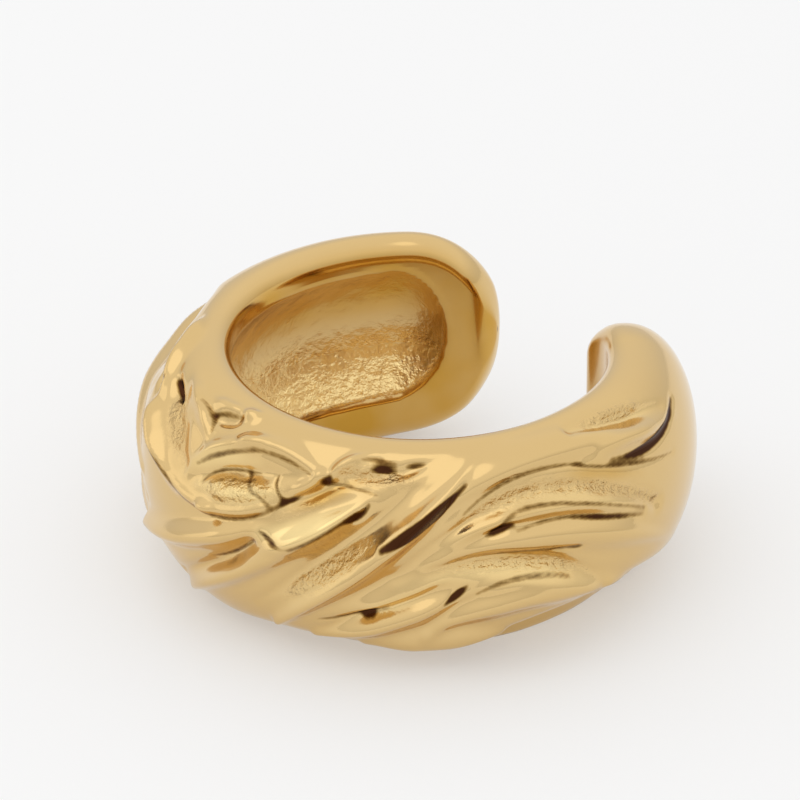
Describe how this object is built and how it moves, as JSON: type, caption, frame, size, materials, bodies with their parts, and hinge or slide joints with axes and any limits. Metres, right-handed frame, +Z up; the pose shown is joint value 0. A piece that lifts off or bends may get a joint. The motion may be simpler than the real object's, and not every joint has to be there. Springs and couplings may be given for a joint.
{
  "type": "ear cuff",
  "caption": "Open C-shaped ear cuff that clips on the rim of the ear, with flowing cast folds outside and a hollowed inner face.",
  "frame": {"origin": "on the ring's axis, at the level of the surface that the ring lies on", "axes": "+Z up along the ring's axis; the gap between the two tips opens towards +X and +Y, and the front with the main folds faces -Y"},
  "size_m": [0.0152, 0.0148, 0.0065],
  "materials": {
    "gold_plate": "polished warm yellow gold plate, with cast texture left rough in the channels and in the inner hollow"
  },
  "bodies": {
    "root": {"cuff": "gold_plate"}
  },
  "joints": []
}
